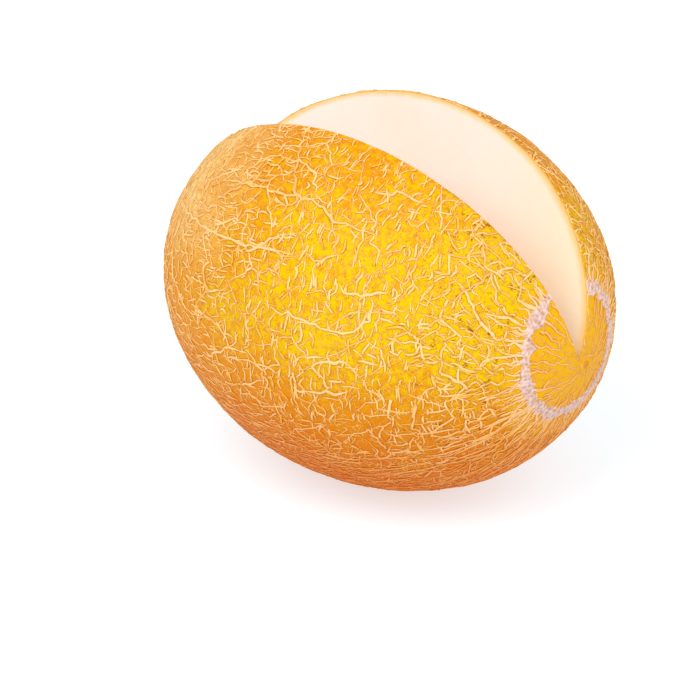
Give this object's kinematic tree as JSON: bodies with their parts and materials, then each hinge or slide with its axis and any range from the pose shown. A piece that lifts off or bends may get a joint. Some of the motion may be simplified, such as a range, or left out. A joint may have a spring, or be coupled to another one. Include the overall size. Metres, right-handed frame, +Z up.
{
  "type": "netted yellow melon",
  "caption": "Oval yellow melon with a raised corky net, lying on its side, with a long wedge cut out of its top down to the seed hollow; cream flesh.",
  "frame": {"origin": "on the surface that the fruit rests on, under the middle of its length and girth", "axes": "+X along the fruit's long axis, from the stem end to the blossom end; +Z up, through the middle of the cut-out wedge"},
  "size_m": [0.1917, 0.1542, 0.1471],
  "materials": {
    "melon_skin": "satin",
    "cork_net": "matte",
    "melon_flesh": "satin"
  },
  "bodies": {
    "root": {"melon": "melon_skin"}
  },
  "joints": []
}
